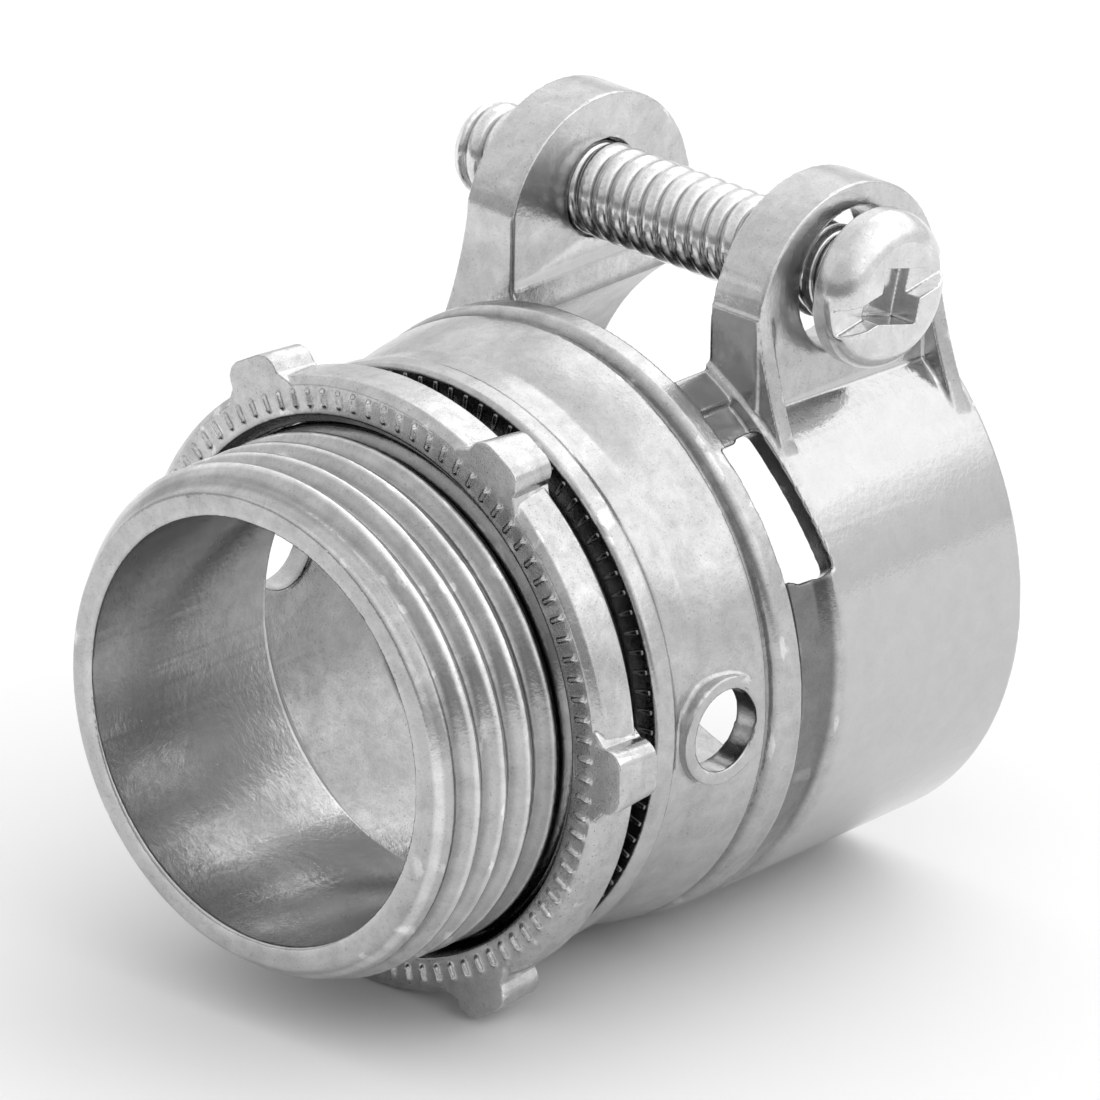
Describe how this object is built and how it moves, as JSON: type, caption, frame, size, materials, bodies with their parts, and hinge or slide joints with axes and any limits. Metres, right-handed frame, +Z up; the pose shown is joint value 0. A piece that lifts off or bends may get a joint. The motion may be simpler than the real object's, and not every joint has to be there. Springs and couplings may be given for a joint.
{
  "type": "flexible conduit connector",
  "caption": "Squeeze connector for flexible metal conduit: threaded hub with lugged locknut, collar, split clamp band with slotted neck, and a clamp screw across its two ears.",
  "frame": {"origin": "on the hub's axis in the plane of the collar's shoulder, where the box wall sits", "axes": "+Y along the axis towards the conduit, +Z up to the clamp ears, +X towards the screw head"},
  "size_m": [0.0338, 0.0383, 0.0377],
  "materials": {
    "cast_body": "zinc die casting, tumbled to a soft satin shine",
    "cast_nut": "zinc die casting, as cast, mottled grey",
    "plated_screw": "bright zinc plate"
  },
  "bodies": {
    "connector": {"connector_body": "cast_body"},
    "locknut": {"locknut": "cast_nut"},
    "clamp_screw": {"clamp_screw": "plated_screw"}
  },
  "joints": [
    {"name": "locknut_turn", "type": "hinge", "parent": "connector", "child": "locknut", "pos_m": [0, -0.0033, 0], "axis": [0, 1, 0], "continuous": true},
    {"name": "clamp_screw_turn", "type": "hinge", "parent": "connector", "child": "clamp_screw", "pos_m": [0, 0.0188, 0.01733], "axis": [1, 0, 0], "continuous": true}
  ]
}
